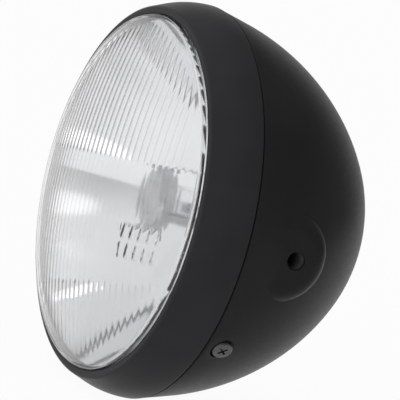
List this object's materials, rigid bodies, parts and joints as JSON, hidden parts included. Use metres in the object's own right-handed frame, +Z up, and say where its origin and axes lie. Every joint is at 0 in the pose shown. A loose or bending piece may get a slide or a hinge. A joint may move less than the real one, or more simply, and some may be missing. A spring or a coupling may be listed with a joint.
{
  "type": "motorcycle headlight",
  "caption": "Round side-mount motorcycle headlight with a domed steel shell, a screwed rim, a fluted glass lens and a mirror reflector.",
  "frame": {"origin": "on the lamp's axis, midway between the two side mount holes", "axes": "+X through the side mount on the right as seen from the front, +Z up, -Y out of the lens along the beam"},
  "size_m": [0.1866, 0.1353, 0.1866],
  "materials": {
    "shell": "satin black powder coat",
    "rim": "satin black powder coat",
    "glass": "clear pressed glass",
    "clear_bulb": "clear quartz glass",
    "mirror": "vacuum coated aluminium on steel",
    "bright_steel": "bright nickel plate",
    "zinc_steel": "zinc plate",
    "black_screw": "black zinc plate, oiled",
    "tungsten": "drawn tungsten wire",
    "insulator": "moulded phenolic",
    "rubber": "moulded black rubber",
    "sealant": "cured black sealant"
  },
  "bodies": {
    "root": {"shell": "shell", "rim": "rim", "rim_seal": "rubber", "lens": "glass", "lens_sealant": "sealant", "reflector": "mirror", "bulb_holder_ring": "zinc_steel", "bulb_shield": "bright_steel", "bulb_glass": "clear_bulb", "main_filament": "tungsten", "dipped_filament": "tungsten", "dip_screen": "zinc_steel", "filament_wires": "zinc_steel", "bulb_flange": "zinc_steel", "bulb_base": "zinc_steel", "bulb_insulator": "insulator", "bulb_terminals": "bright_steel", "bulb_clip": "zinc_steel", "clip_bracket": "zinc_steel", "clip_screws": "zinc_steel", "bulb_boot": "rubber", "position_grommet": "rubber", "position_holder": "zinc_steel", "position_bulb": "clear_bulb", "position_filament": "tungsten", "position_terminals": "bright_steel", "unit_clips": "zinc_steel", "top_hook": "zinc_steel", "left_tab": "zinc_steel", "right_tab": "zinc_steel", "tab_nuts": "zinc_steel", "rim_screws": "black_screw", "left_bush": "black_screw", "right_bush": "black_screw", "cable_grommet": "rubber"}
  },
  "joints": []
}
